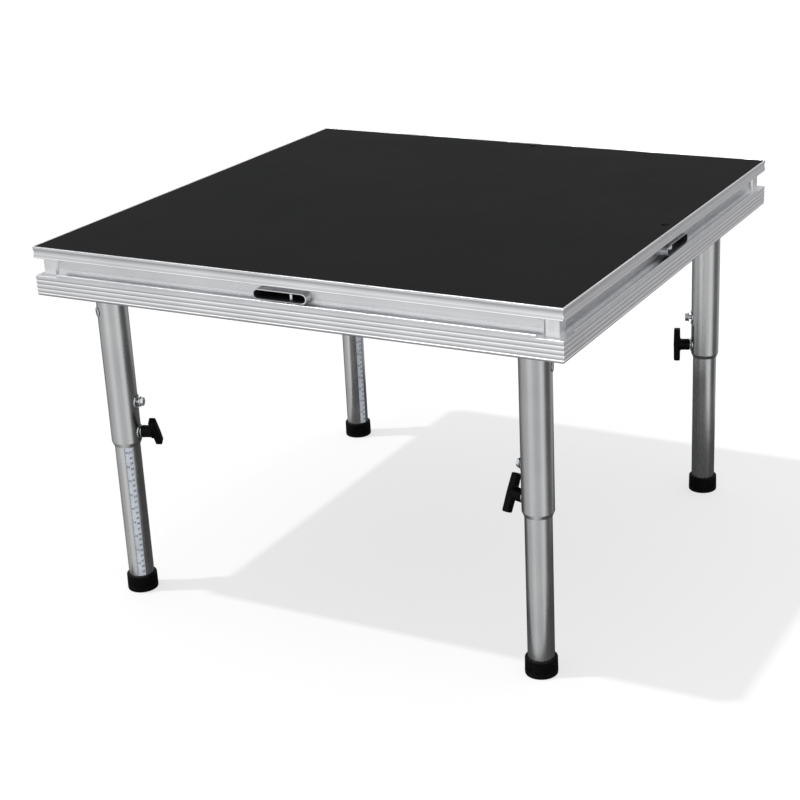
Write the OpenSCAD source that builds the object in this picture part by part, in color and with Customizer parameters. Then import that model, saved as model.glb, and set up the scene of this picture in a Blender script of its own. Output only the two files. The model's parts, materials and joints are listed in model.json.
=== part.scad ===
// Stage riser platform: a square decked aluminium frame on four telescopic legs that pull out of
// their sockets, with hook locks on two sides and catches on the other two.
// Millimetres. The origin is on the floor below the centre of the deck; the front faces -Y.

/* [Platform] */
// Side of the square deck
deck_size = 914; // [860:1:1000]
// Height of the deck above the floor with the legs as drawn
total_height = 622; // [600:1:650]

/* [Frame] */
// Height of the frame rails
rail_height = 81; // [79:1:90]
// Depth of the hollow part of a rail
rail_depth = 28; // [27:0.5:29]
// How far the flange under the deck board reaches in
flange_reach = 40; // [38:0.5:42]
// Wall of the rails
rail_wall = 2.5; // [2:0.1:2.6]
// Depth of the channel along the outside of a rail
channel_depth = 15.5; // [14:0.5:16]
// Distance over which the channel's lower lip is cut away at each corner
lip_notch = 42; // [40:1:60]
// Width of a cross beam
beam_width = 30; // [25:1:40]
// Depth of a cross beam
beam_depth = 45; // [35:1:55]
// Distance of each cross beam from the middle
beam_offset = 205; // [160:1:240]

/* [Deck board] */
// Thickness of the plywood
board_thickness = 12; // [12:0.5:12.5]
// Thickness of the anti-slip layer
skin_thickness = 0.8; // [0.5:0.1:1]
// How far the rim stands above the deck surface
rim_stand = 0.4; // [0.2:0.1:0.6]

/* [Locks] */
// Length of a lock housing
lock_length = 93; // [88:1:100]
// Height of a lock housing
lock_height = 16.5; // [16:0.1:17]
// Diameter of the key holes in the deck
key_hole_d = 13; // [12:0.5:14]

/* [Legs] */
// Distance of a leg's axis from the edges of the deck
leg_inset = 81; // [78:0.5:84]
// Outside diameter of the upper tube
outer_tube_d = 50; // [49:0.1:51]
// Inside diameter of the upper tube
outer_tube_bore = 43.2; // [43:0.1:43.4]
// Outside diameter of the lower tube
inner_tube_d = 42.4; // [42:0.1:42.5]
// Height of the upper tube's lower end above the floor
outer_tube_foot_z = 267; // [258:1:270]
// Height of the lower tube's upper end above the floor
inner_tube_top_z = 365; // [350:1:380]
// Diameter of a foot
foot_d = 52; // [50:0.5:56]
// Height of a foot
foot_height = 29; // [25:0.5:32]
// Width of the height tape
tape_width = 13; // [10:0.5:14]

/* [Clamp knobs] */
// Height of the knob's axis above the floor
knob_z = 289; // [286:1:292]
// Length of the knob's bar
bar_length = 61; // [54:1:64]
// Width of the knob's bar
bar_width = 13; // [11:0.5:15]
// Diameter of the knob's hub
hub_d = 21; // [18:0.5:23]

/* [Hidden] */
SIDES = ["front", "right", "rear", "left"];
CORNERS = ["front_left", "front_right", "rear_right", "rear_left"];
LEG_PARTS = ["outer_tube_", "boss_nuts_", "leg_bolts_", "inner_tube_", "height_tape_", "foot_",
             "knob_washer_", "clamp_knob_", "clamp_stud_"];

silver = [0.80, 0.81, 0.83];
satin_grey = [0.62, 0.63, 0.65];
zinc = [0.55, 0.56, 0.58];
near_black = [0.16, 0.17, 0.17];
black = [0.05, 0.05, 0.055];
birch = [0.72, 0.58, 0.40];
tape_white = [0.86, 0.87, 0.90];

half_deck = deck_size / 2;
past = 1; // how far a cutter runs past the face that it cuts

// Heights in a rail's section, measured down from the deck's top edge
ledge_drop = rim_stand + skin_thickness + board_thickness;
plate_drop = ledge_drop + 3;
mouth_top_drop = 18.7;
lip_top_drop = 43;
channel_floor_drop = 47.5;
lip_thickness = 3;
bottom_radius = 4.5;
groove_drops = [54.5, 61.5, 68.5, 75];
groove_radius = 1.5;
groove_depth = 0.8;
flute_radius = 14;
flute_depth = 1.1;
back_wall_t = 2.7;
wall_lean = 3;

// Corner angles fill the channel at each corner
angle_face = 11;
angle_reach = 37;
rivet_d = 6.5;
rivet_head = 1.8;
rivet_shank_d = 3;
rivet_drop = 23;

// Locks and catches, measured in from the outer face and along the side from its middle
lock_drop = 33.5;
lock_front = 1;
lock_back = 36;
lock_wall = 2.4;
lock_gap = 0.2;
hook_gap = 0.3;
hook_depth = 19;
hook_offset = -9;
hook_drum_r = 11;
hook_tip_r = 37.5;
hook_slot_r = 29.7;
hook_slot_half = 3.4;
hook_lead = -8;
hook_slot_end = 10;
hook_trail = 20;
journal_r = 5;
journal_hole_r = 5.06;
key_socket_af = 6.5;
key_socket_depth = 9;
catch_pin_r = 3;
catch_pin_offset = 15.5;
catch_pin_depth = 10;

// Leg sockets, measured from the outer corner
socket_r = 31;
socket_bore_r = outer_tube_d / 2 + 0.3;
socket_top_drop = plate_drop + 0.8;
socket_plate_t = 5;
socket_bottom_drop = rail_height - 2;
socket_wall_t = 5;
socket_reach = 112;
socket_wall_bottom = 76;
socket_web_length = 45;
socket_bolt_spots = [46, 100];
socket_bolt_drop = 64;
socket_bolt_r = 3;

// Board screws stand in the flange from below
screw_line = 34;
screw_spots = [-300, -130, 130, 300];
screw_r = 2;
screw_head_r = 4;

// Legs
leg_top_z = total_height - socket_top_drop - socket_plate_t - 0.1;
outer_chamfer_h = 7;
outer_chamfer_r = 22.1;
inner_tube_wall = 3;
foot_floor = 8;
tape_t = 0.12;
// Each leg can stand turned in its socket: its knob points along +X of its own frame
leg_turns = [20, 165, 200, 43]; // in the order of CORNERS
tape_angle = -71;
lock_bolt_z = 342;
stop_bolt_z = total_height - 120;
stop_bolt_turn = 212;
stop_head_r = 8.5;
stop_head_h = 1.6;
bolt_r = 4;
bolt_head_af = 13;
bolt_head_h = 5.5;
bolt_washer_r = 8.5;
bolt_washer_t = 1.5;
boss_base_r = 10.5;
boss_nose_r = 8;
knob_boss_end = 25.6;
bolt_boss_end = 29.5;
stud_hole_r = 5;
stud_r = 4.92;
stud_point_r = 3;
knob_outer = 57;
bar_thickness = 12.5;
hub_start = 27.5;
knob_washer_start = 25.9;
knob_washer_t = 1.4;
bar_angles = [33, 25, 0, 15]; // in the order of CORNERS

// A hexagon's circumscribed radius from its size across flats
function hex_r(across_flats) = across_flats / 2 / cos(30);

// Puts children drawn along the front side onto side k: x runs along the side, y inwards
module on_side(k) rotate([0, 0, 90 * k]) translate([0, -half_deck, total_height]) children();

// Puts children drawn from the outer corner inwards onto corner k, in the order of CORNERS
module on_corner(k) rotate([0, 0, 90 * k]) translate([-half_deck, -half_deck, total_height]) children();

// Puts children drawn around a leg's axis, with +X along its knob's axis, onto corner k
module on_leg(k) {
    x = half_deck - leg_inset;
    left = k == 0 || k == 3;
    front = k < 2;
    translate([left ? -x : x, front ? -x : x, 0]) rotate([0, 0, leg_turns[k]]) children();
}

// Turns a cylinder to lie along +X
module along_x() rotate([0, 90, 0]) children();

// ---- Frame rails ----

// Area cut out of a rail for the channel along its outside
module channel_area() {
    lean_u = channel_depth + wall_lean;
    polygon([
        [-past, -mouth_top_drop], [lip_thickness, -mouth_top_drop], [lip_thickness, -plate_drop],
        [channel_depth, -plate_drop], [channel_depth, -33], [lean_u, -40],
        [lean_u, -channel_floor_drop], [lip_thickness, -channel_floor_drop],
        [lip_thickness, -lip_top_drop], [-past, -lip_top_drop]
    ]);
}

// Hollow behind the channel
module back_hollow_area() {
    near_u = channel_depth + back_wall_t;
    far_u = rail_depth - rail_wall;
    polygon([
        [near_u, -plate_drop], [far_u, -plate_drop], [far_u, -channel_floor_drop],
        [near_u + wall_lean, -channel_floor_drop], [near_u + wall_lean, -39.2], [near_u, -32.2]
    ]);
}

// Section of a rail: x is the depth from the outer face, y the height from the deck's top edge
module rail_section() {
    low = -rail_height;
    r = bottom_radius;
    difference() {
        union() {
            translate([0, low + r]) square([rail_depth, rail_height - r - ledge_drop]);
            translate([r, low]) square([rail_depth - 2 * r, 2 * r]);
            for (u = [r, rail_depth - r]) translate([u, low + r]) circle(r, $fn = 48);
            translate([0, -plate_drop]) square([rail_wall, plate_drop]);
            translate([0, -plate_drop]) square([flange_reach, plate_drop - ledge_drop]);
        }
        channel_area();
        back_hollow_area();
        translate([rail_wall, low + rail_wall])
            square([rail_depth - 2 * rail_wall, rail_height - channel_floor_drop - 2 * rail_wall]);
        for (drop = groove_drops)
            translate([groove_depth - groove_radius, -drop]) circle(groove_radius, $fn = 32);
        translate([flute_depth - flute_radius, -9]) circle(flute_radius, $fn = 96);
    }
}

// Outline of a lock housing seen from outside, grown by a margin
module lock_outline(margin) {
    r = lock_height / 2 + margin;
    run = lock_length / 2 - lock_height / 2;
    square([2 * run, 2 * r], center = true);
    for (x = [-run, run]) translate([x, 0]) circle(r, $fn = 64);
}

// A lock outline extruded inwards from one depth to another, centred on the lock's height
module lock_prism(margin, from, to) {
    translate([0, to, -lock_drop]) rotate([90, 0, 0]) linear_extrude(to - from) lock_outline(margin);
}

// One mitred rail along the front; a rail with a lock has a key way through its flange
module rail(has_lock) {
    color(silver) difference() {
        translate([-half_deck, 0, 0]) rotate([90, 0, 90]) linear_extrude(deck_size) rail_section();
        for (end = [0, 1]) mirror([end, 0, 0]) rail_end_cuts();
        lock_prism(lock_gap, channel_depth - past, rail_depth + past);
        for (x = screw_spots) translate([x, screw_line, -plate_drop - past]) cylinder(r = screw_r, h = 9, $fn = 32);
        if (has_lock) translate([hook_offset, hook_depth, -lock_drop])
            cylinder(d = key_hole_d + 3, h = lock_drop, $fn = 48);
    }
}

// Mitre, lip notch, bolt holes and rivet hole at the rail's end towards -X
module rail_end_cuts() {
    translate([-half_deck, 0, -rail_height - past]) rotate([0, 0, 45])
        translate([-half_deck, 0, 0]) cube([deck_size, half_deck / 4, rail_height + 2 * past]);
    translate([-half_deck - past, -past, -channel_floor_drop])
        cube([lip_notch + past, lip_thickness + 2 * past, channel_floor_drop - lip_top_drop + past]);
    for (spot = socket_bolt_spots) translate([spot - half_deck, 0, -socket_bolt_drop])
        rotate([-90, 0, 0]) translate([0, 0, rail_depth / 2]) cylinder(r = socket_bolt_r, h = rail_depth, $fn = 32);
    translate([lip_notch - half_deck, channel_depth - past, -rivet_drop])
        rotate([-90, 0, 0]) cylinder(d = rivet_shank_d, h = back_wall_t + 2 * past, $fn = 32);
}

// Angle pieces that close the channel at the four corners
module corner_angles() {
    color(silver) for (k = [0:3]) on_corner(k) translate([0, 0, -channel_floor_drop])
        difference() {
            translate([angle_face, angle_face, 0])
                cube([angle_reach - angle_face, angle_reach - angle_face, channel_floor_drop - plate_drop]);
            translate([channel_depth, channel_depth, -past])
                cube([angle_reach, angle_reach, channel_floor_drop]);
        }
}

// Rivets in the channel's back wall, one beside each corner angle's end
module rail_rivets() {
    color(zinc) for (k = [0:3]) on_side(k) for (end = [-1, 1])
        translate([end * (half_deck - lip_notch), channel_depth, -rivet_drop]) rotate([90, 0, 0]) {
            cylinder(d1 = rivet_d, d2 = rivet_d * 0.6, h = rivet_head, $fn = 32);
            translate([0, 0, -back_wall_t]) cylinder(d = rivet_shank_d, h = back_wall_t, $fn = 32);
        }
}

// Rectangular tube under the board, notched over the rails' flanges
module cross_beam(x) {
    length = deck_size - 2 * rail_depth;
    notch = flange_reach - rail_depth + 0.5;
    color(silver) translate([x, 0, total_height - ledge_drop - beam_depth]) difference() {
        translate([-beam_width / 2, -length / 2, 0]) cube([beam_width, length, beam_depth]);
        translate([rail_wall - beam_width / 2, -length / 2 - past, rail_wall])
            cube([beam_width - 2 * rail_wall, length + 2 * past, beam_depth - 2 * rail_wall]);
        for (end = [0, 1]) mirror([0, end, 0])
            translate([-beam_width, -length / 2 - past, beam_depth - (plate_drop - ledge_drop)])
                cube([2 * beam_width, notch + past, beam_depth]);
    }
}

// ---- Deck board ----

// Key ways through the board or its skin, over the two locks
module key_holes(top, height) {
    for (k = [1, 2]) on_side(k) translate([hook_offset, hook_depth, -top - height - past])
        cylinder(d = key_hole_d, h = height + 2 * past, $fn = 64);
}

module deck_board() {
    side = deck_size - 2 * rail_wall;
    color(birch) difference() {
        translate([-side / 2, -side / 2, total_height - ledge_drop]) cube([side, side, board_thickness]);
        key_holes(rim_stand + skin_thickness, board_thickness);
        for (k = [0:3]) on_side(k) for (x = screw_spots)
            translate([x, screw_line, -ledge_drop - past]) cylinder(r = screw_r, h = 9 + past, $fn = 32);
    }
}

module anti_slip_surface() {
    side = deck_size - 2 * rail_wall;
    color(near_black) difference() {
        translate([-side / 2, -side / 2, total_height - rim_stand - skin_thickness])
            cube([side, side, skin_thickness]);
        key_holes(rim_stand, skin_thickness);
    }
}

// Screws driven up through the flange into the board
module board_screws() {
    color(zinc) for (k = [0:3]) on_side(k) for (x = screw_spots)
        translate([x, screw_line, -plate_drop]) {
            translate([0, 0, -2]) cylinder(r1 = screw_head_r * 0.7, r2 = screw_head_r, h = 2, $fn = 32);
            cylinder(r = screw_r, h = plate_drop - ledge_drop + 9, $fn = 32);
        }
}

// ---- Locks and catches ----

// Obround housing let into the rail, open to the outside
module lock_housing() {
    difference() {
        lock_prism(0, lock_front, lock_back);
        lock_prism(-lock_wall, lock_front - past, lock_back - lock_wall);
    }
}

module catch_housing() {
    color(zinc) difference() {
        lock_housing();
        translate([catch_pin_offset, catch_pin_depth, -lock_drop])
            cylinder(r = catch_pin_r, h = lock_height + 2 * past, center = true, $fn = 48);
    }
}

// The pins that the next platform's hooks take hold of
module catch_pins() {
    color(satin_grey) for (k = [0, 3]) on_side(k)
        translate([catch_pin_offset, catch_pin_depth, -lock_drop])
            cylinder(r = catch_pin_r, h = lock_height, center = true, $fn = 48);
}

module hook_housing() {
    color(zinc) difference() {
        lock_housing();
        translate([hook_offset, hook_depth, -lock_drop])
            cylinder(r = journal_hole_r, h = lock_height + 2 * past, center = true, $fn = 64);
    }
}

// Area between two radii and two angles
module ring_sector(inner, outer, from, to) {
    reach = outer * 1.2;
    intersection() {
        difference() {
            circle(outer, $fn = 96);
            circle(inner, $fn = 96);
        }
        polygon([[0, 0], reach * [cos(from), sin(from)], reach * [cos(to), sin(to)]]);
    }
}

// Rotating hook: a drum with two journals, an arm and a finger that closes behind a catch pin
module hook() {
    height = lock_height - 2 * lock_wall - 2 * hook_gap;
    color(satin_grey) translate([hook_offset, hook_depth, -lock_drop]) difference() {
        union() {
            cylinder(r = hook_drum_r, h = height, center = true, $fn = 96);
            cylinder(r = journal_r, h = lock_height, center = true, $fn = 64);
            linear_extrude(height, center = true) difference() {
                ring_sector(hook_drum_r - past, hook_tip_r, hook_lead, hook_trail);
                ring_sector(hook_slot_r - hook_slot_half, hook_slot_r + hook_slot_half,
                            hook_lead - 5, hook_slot_end);
            }
        }
        translate([0, 0, lock_height / 2 - key_socket_depth])
            cylinder(r = hex_r(key_socket_af), h = key_socket_depth + past, $fn = 6);
    }
}

// ---- Leg sockets ----

// Cast corner with the sleeve that a leg slides into
module leg_socket() {
    first = rail_depth;
    plate_side = socket_reach - first;
    color(satin_grey) difference() {
        union() {
            translate([leg_inset, leg_inset, -socket_bottom_drop])
                cylinder(r = socket_r, h = socket_bottom_drop - socket_top_drop, $fn = 96);
            translate([first, first, -socket_top_drop - socket_plate_t])
                cube([plate_side, plate_side, socket_plate_t]);
            for (swap = [0, 1]) mirror([swap, -swap, 0])
                translate([first, first, -socket_wall_bottom])
                    cube([plate_side, socket_wall_t, socket_wall_bottom - socket_top_drop]);
            translate([first, first, -socket_wall_bottom]) rotate([0, 0, 45])
                translate([socket_wall_t, -socket_wall_t / 2, 0])
                    cube([socket_web_length, socket_wall_t, socket_wall_bottom - socket_top_drop]);
        }
        translate([leg_inset, leg_inset, -rail_height])
            cylinder(r = socket_bore_r, h = rail_height - socket_top_drop - socket_plate_t, $fn = 96);
        for (swap = [0, 1]) mirror([swap, -swap, 0]) for (spot = socket_bolt_spots)
            translate([spot, first - past, -socket_bolt_drop]) rotate([-90, 0, 0])
                cylinder(r = socket_bolt_r, h = socket_wall_t + 2 * past, $fn = 32);
    }
}

// Bolts that hold the castings against the rails' inner walls
module socket_bolts() {
    shank = socket_wall_t + rail_wall + 3;
    color(zinc) for (k = [0:3]) on_corner(k) for (swap = [0, 1]) mirror([swap, -swap, 0])
        for (spot = socket_bolt_spots)
            translate([spot, rail_depth + socket_wall_t, -socket_bolt_drop]) rotate([-90, 0, 0]) {
                cylinder(r = hex_r(10), h = 4, $fn = 6);
                translate([0, 0, -shank]) cylinder(r = socket_bolt_r, h = shank, $fn = 32);
            }
}

// ---- Legs ----

module outer_tube() {
    r = outer_tube_d / 2;
    low = outer_tube_foot_z;
    color(satin_grey) difference() {
        union() {
            translate([0, 0, low + outer_chamfer_h])
                cylinder(r = r, h = leg_top_z - low - outer_chamfer_h, $fn = 96);
            translate([0, 0, low]) cylinder(r1 = outer_chamfer_r, r2 = r, h = outer_chamfer_h, $fn = 96);
        }
        translate([0, 0, low - past]) cylinder(d = outer_tube_bore, h = leg_top_z - low + 2 * past, $fn = 96);
        translate([0, 0, knob_z]) along_x() cylinder(r = stud_hole_r, h = 2 * r, $fn = 48);
        translate([0, 0, lock_bolt_z]) along_x() cylinder(r = bolt_r, h = 2 * r, $fn = 48);
        translate([0, 0, stop_bolt_z]) rotate([0, 0, stop_bolt_turn]) along_x()
            cylinder(r = bolt_r, h = 2 * r, $fn = 48);
    }
}

// Threaded bosses welded to the upper tube, for the clamp stud and the lock bolt
module boss_nuts() {
    r = outer_tube_d / 2;
    color(satin_grey) difference() {
        for (boss = [[knob_z, knob_boss_end], [lock_bolt_z, bolt_boss_end]])
            translate([r * 0.8, 0, boss[0]]) along_x()
                cylinder(r1 = boss_base_r, r2 = boss_nose_r, h = boss[1] - r * 0.8, $fn = 48);
        cylinder(r = r, h = total_height, $fn = 96);
        translate([0, 0, knob_z]) along_x() cylinder(r = stud_hole_r, h = knob_boss_end + past, $fn = 48);
        translate([0, 0, lock_bolt_z]) along_x() cylinder(r = bolt_r, h = bolt_boss_end + past, $fn = 48);
    }
}

// Hexagon bolt along +X, on its washer, that presses on the lower tube
module lock_bolt() {
    seat = bolt_boss_end + bolt_washer_t;
    tip = inner_tube_d / 2 + 0.4;
    along_x() {
        translate([0, 0, bolt_boss_end]) cylinder(r = bolt_washer_r, h = bolt_washer_t, $fn = 48);
        translate([0, 0, seat]) cylinder(r = hex_r(bolt_head_af), h = bolt_head_h, $fn = 6);
        translate([0, 0, tip]) cylinder(r = bolt_r, h = seat - tip, $fn = 48);
    }
}

// Low-headed bolt along +X that reaches past the leg's axis, to stop the lower tube's travel
module stop_bolt() {
    seat = outer_tube_d / 2;
    tip = -5;
    along_x() {
        translate([0, 0, seat]) cylinder(r1 = stop_head_r, r2 = stop_head_r - 1, h = stop_head_h, $fn = 48);
        translate([0, 0, tip]) cylinder(r = bolt_r, h = seat - tip, $fn = 48);
    }
}

module leg_bolts() {
    color(zinc) {
        translate([0, 0, lock_bolt_z]) lock_bolt();
        translate([0, 0, stop_bolt_z]) rotate([0, 0, stop_bolt_turn]) stop_bolt();
    }
}

module inner_tube() {
    r = inner_tube_d / 2;
    color(satin_grey) translate([0, 0, foot_floor]) difference() {
        cylinder(r = r, h = inner_tube_top_z - foot_floor, $fn = 96);
        translate([0, 0, -past])
            cylinder(r = r - inner_tube_wall, h = inner_tube_top_z - foot_floor + 2 * past, $fn = 96);
    }
}

// Thin tape stuck along the lower tube
module height_tape() {
    r = inner_tube_d / 2;
    spread = tape_width / r * 180 / PI;
    color(tape_white) translate([0, 0, foot_height + 1]) rotate([0, 0, tape_angle - spread / 2])
        rotate_extrude(angle = spread, $fn = 96)
            translate([r, 0]) square([tape_t, inner_tube_top_z - foot_height - 12]);
}

module foot() {
    r = foot_d / 2;
    edge = 2;
    color(black) rotate_extrude($fn = 96) polygon([
        [0, 0], [r - edge, 0], [r, edge], [r, foot_height - edge], [r - edge, foot_height],
        [inner_tube_d / 2, foot_height], [inner_tube_d / 2, foot_floor], [0, foot_floor]
    ]);
}

module knob_washer() {
    color(zinc) translate([knob_washer_start, 0, knob_z]) along_x() difference() {
        cylinder(r = 9, h = knob_washer_t, $fn = 48);
        translate([0, 0, -past]) cylinder(r = stud_r + 0.3, h = knob_washer_t + 2 * past, $fn = 48);
    }
}

// T-shaped knob turned about its own axis by an angle
module clamp_knob(angle) {
    bar_start = knob_outer - bar_thickness;
    round_r = 3;
    color(black) translate([0, 0, knob_z]) rotate([angle, 0, 0]) difference() {
        union() {
            translate([hub_start, 0, 0]) along_x()
                cylinder(d = hub_d, h = bar_start - hub_start + past, $fn = 48);
            translate([0, bar_width / 2, 0]) rotate([90, 0, 0]) linear_extrude(bar_width) {
                translate([bar_start, -bar_length / 2])
                    square([bar_thickness - round_r, bar_length]);
                translate([bar_start, round_r - bar_length / 2])
                    square([bar_thickness, bar_length - 2 * round_r]);
                for (end = [-1, 1])
                    translate([knob_outer - round_r, end * (bar_length / 2 - round_r)]) circle(round_r, $fn = 32);
            }
        }
        translate([hub_start - past, 0, 0]) along_x()
            cylinder(r = stud_r, h = bar_start - hub_start, $fn = 48);
    }
}

// Threaded stud moulded into the knob, with a plain point that presses on the lower tube
module clamp_stud() {
    tip = inner_tube_d / 2 + 0.3;
    neck = outer_tube_bore / 2 + 1.5;
    embedded = knob_outer - bar_thickness - past;
    color(zinc) translate([0, 0, knob_z]) along_x() {
        translate([0, 0, tip]) cylinder(r = stud_point_r, h = neck - tip, $fn = 48);
        translate([0, 0, neck]) cylinder(r = stud_r, h = embedded - neck, $fn = 48);
    }
}

anti_slip_surface();
deck_board();
corner_angles();
cross_beam(-beam_offset);  // cross_beam_left
cross_beam(beam_offset);  // cross_beam_right
on_side(0) catch_housing();  // catch_front
on_side(3) catch_housing();  // catch_left
catch_pins();
on_side(1) hook_housing();  // lock_right
on_side(2) hook_housing();  // lock_rear
on_side(1) hook();  // hook_right
on_side(2) hook();  // hook_rear
rail_rivets();
board_screws();
socket_bolts();
for (k = [0:3]) {
    corner = CORNERS[k];
    on_side(k) rail(k == 1 || k == 2);
    on_corner(k) leg_socket();
    on_leg(k) outer_tube();
    on_leg(k) boss_nuts();
    on_leg(k) leg_bolts();
    on_leg(k) inner_tube();
    on_leg(k) height_tape();
    on_leg(k) foot();
    on_leg(k) knob_washer();
    on_leg(k) clamp_knob(bar_angles[k]);
    on_leg(k) clamp_stud();
}
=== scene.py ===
"""Looks of the stage riser platform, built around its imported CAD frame."""

import json
import math

import bmesh
import bpy
from mathutils import Matrix, Vector

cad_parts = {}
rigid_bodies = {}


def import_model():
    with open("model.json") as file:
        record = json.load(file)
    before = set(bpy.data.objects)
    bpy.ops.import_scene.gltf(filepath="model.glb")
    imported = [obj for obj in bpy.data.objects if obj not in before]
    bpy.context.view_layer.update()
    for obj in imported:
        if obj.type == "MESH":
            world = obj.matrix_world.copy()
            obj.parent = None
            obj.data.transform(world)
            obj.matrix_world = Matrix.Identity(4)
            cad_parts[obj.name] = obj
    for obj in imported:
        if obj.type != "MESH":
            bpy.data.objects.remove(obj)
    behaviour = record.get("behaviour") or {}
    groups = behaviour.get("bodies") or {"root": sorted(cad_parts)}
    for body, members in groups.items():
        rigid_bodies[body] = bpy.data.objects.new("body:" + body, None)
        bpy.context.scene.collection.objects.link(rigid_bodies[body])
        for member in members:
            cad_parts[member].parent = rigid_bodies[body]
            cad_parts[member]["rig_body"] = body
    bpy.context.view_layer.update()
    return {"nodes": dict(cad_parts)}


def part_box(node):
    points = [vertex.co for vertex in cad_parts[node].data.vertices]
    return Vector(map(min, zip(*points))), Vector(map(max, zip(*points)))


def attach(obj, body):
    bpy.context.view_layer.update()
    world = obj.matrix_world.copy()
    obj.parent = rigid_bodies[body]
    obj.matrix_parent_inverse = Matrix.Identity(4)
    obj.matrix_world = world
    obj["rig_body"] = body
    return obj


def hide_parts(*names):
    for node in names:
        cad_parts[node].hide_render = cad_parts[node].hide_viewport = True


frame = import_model()
scene = bpy.context.scene

MM = 0.001
SIDES = ["front", "right", "rear", "left"]
CORNERS = ["front_left", "front_right", "rear_right", "rear_left"]
BODY_OF = {node: thing["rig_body"] for node, thing in frame["nodes"].items()}


def levels(node):
    """Heights of a node's lowest and highest points, in millimetres."""
    return [corner.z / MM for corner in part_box(node)]


# Driving sizes in millimetres, read from the frame
HALF = -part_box("front_rail")[0].x / MM
TOP = levels("front_rail")[1]
LEG = {c: (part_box("outer_tube_" + c)[0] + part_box("outer_tube_" + c)[1]) / 2 / MM for c in CORNERS}
TUBE_LOW, TUBE_HIGH = levels("outer_tube_front_left")
INNER_LOW, INNER_HIGH = levels("inner_tube_front_left")
TAPE_LOW, TAPE_HIGH = levels("height_tape_front_left")
FOOT_HEIGHT = levels("foot_front_left")[1]
KNOB_Z = sum(levels("knob_washer_front_left")) / 2

# Sizes of the section of a rail: depths from the outer face, drops from the deck's top edge
RIM = 2.5
LEDGE_DROP = 13.2
FLANGE_DROP = 16.2
MOUTH_DROP = 18.7
CHANNEL_DEPTH = 15.5
CHANNEL_FOOT = 14.1
LIP_DROP = 43
LIP_DEPTH = 3
LIP_NOTCH = 42
FLOOR_DROP = 47.5
RAIL_DROP = 81
RAIL_DEPTH = 28
FLANGE_REACH = 40
GROOVE_DROPS = [54.5, 61.5, 68.5, 75]
GROOVE_RADIUS = 1.5
GROOVE_CENTRE = -0.7
RIB_CROWN = 0.22
FLUTE_DROP = 9
FLUTE_RADIUS = 14
FLUTE_CENTRE = -12.9
CORNER_TIP = 1.0
BEAD_RADIUS = 1.3
RIVET_DROP = 23

# Locks and catches
LOCK_DROP = 33.5
LOCK_LENGTH = 93
LOCK_HEIGHT = 16.5
LOCK_WALL = 2.4
LOCK_FRONT = 1
LOCK_BACK = 36
HOOK_OFFSET = -9
HOOK_DEPTH = 19
KEY_RADIUS = 6.5
PIN_OFFSET = 15.5
PIN_DEPTH = 10

# Legs, measured from a leg's axis, with +X along its knob's axis
LEG_TURNS = dict(zip(CORNERS, [20, 165, 200, 43]))
OUTER_R = 25
OUTER_BORE_R = 21.6
MOUTH_R = 22.1
MOUTH_HEIGHT = 7
INNER_R = 21.2
INNER_BORE_R = 18.2
FOOT_R = 26
FOOT_FLOOR = 8
LOCK_BOLT_Z = 342
STOP_BOLT_Z = TOP - 120
STOP_BOLT_TURN = 212
KNOB_BOSS_END = 25.6
BOLT_BOSS_END = 29.5
WASHER_START = 25.9
WASHER_END = 27.3
HUB_START = 27.5
KNOB_OUTER = 57
BAR_THICKNESS = 12.5
BAR_ANGLES = dict(zip(CORNERS, [33, 25, 0, 15]))
TAPE_ANGLE = -71
TAPE_HALF_WIDTH = 6.5
TAPE_R = 21.32
DECK_ABOVE_EDGE = TOP - TUBE_LOW


# ---- Outlines: lists of (x, y) that run anticlockwise, in millimetres ----

def rounded(corners, step=15):
    """Outline through (x, y, radius) corners, with each corner turned into an arc."""
    points = []
    for i, (x, y, radius) in enumerate(corners):
        here = Vector((x, y))
        before = (Vector(corners[i - 1][:2]) - here).normalized()
        after = (Vector(corners[(i + 1) % len(corners)][:2]) - here).normalized()
        half = before.angle(after) / 2
        if radius <= 0 or half > math.radians(88):
            points.append((x, y))
            continue
        centre = here + (before + after).normalized() * (radius / math.sin(half))
        start = here + before * (radius / math.tan(half)) - centre
        end = here + after * (radius / math.tan(half)) - centre
        first = math.atan2(start.y, start.x)
        turn = (math.atan2(end.y, end.x) - first + math.pi) % (2 * math.pi) - math.pi
        count = max(2, math.ceil(abs(turn) / math.radians(step)))
        for j in range(count + 1):
            angle = first + turn * j / count
            points.append((centre.x + radius * math.cos(angle), centre.y + radius * math.sin(angle)))
    return points


def whole_turn(count):
    """Equal steps round a circle, in radians."""
    return [2 * math.pi * j / count for j in range(count)]


def arc(x, y, radius, start, end, step):
    """Points of an arc between two angles in degrees."""
    count = max(1, math.ceil(abs(end - start) / step))
    angles = [math.radians(start + (end - start) * i / count) for i in range(count + 1)]
    return [(x + radius * math.cos(a), y + radius * math.sin(a)) for a in angles]


def inset(outline, distance):
    """The outline moved inwards by a distance."""
    result = []
    for i, point in enumerate(outline):
        into = (Vector(point) - Vector(outline[i - 1])).normalized()
        out = (Vector(outline[(i + 1) % len(outline)]) - Vector(point)).normalized()
        normal = Vector((-into.y - out.y, into.x + out.x))
        shift = normal * (2 * distance / max(normal.length_squared, 0.4))
        result.append((point[0] + shift.x, point[1] + shift.y))
    return result


def obround(length, height):
    """A slot's outline: a rectangle with half-round ends."""
    run = (length - height) / 2
    return arc(run, 0, height / 2, -90, 90, 7.5) + arc(-run, 0, height / 2, 90, 270, 7.5)


# ---- Shells: closed (points, faces) pairs in millimetres ----

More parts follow.
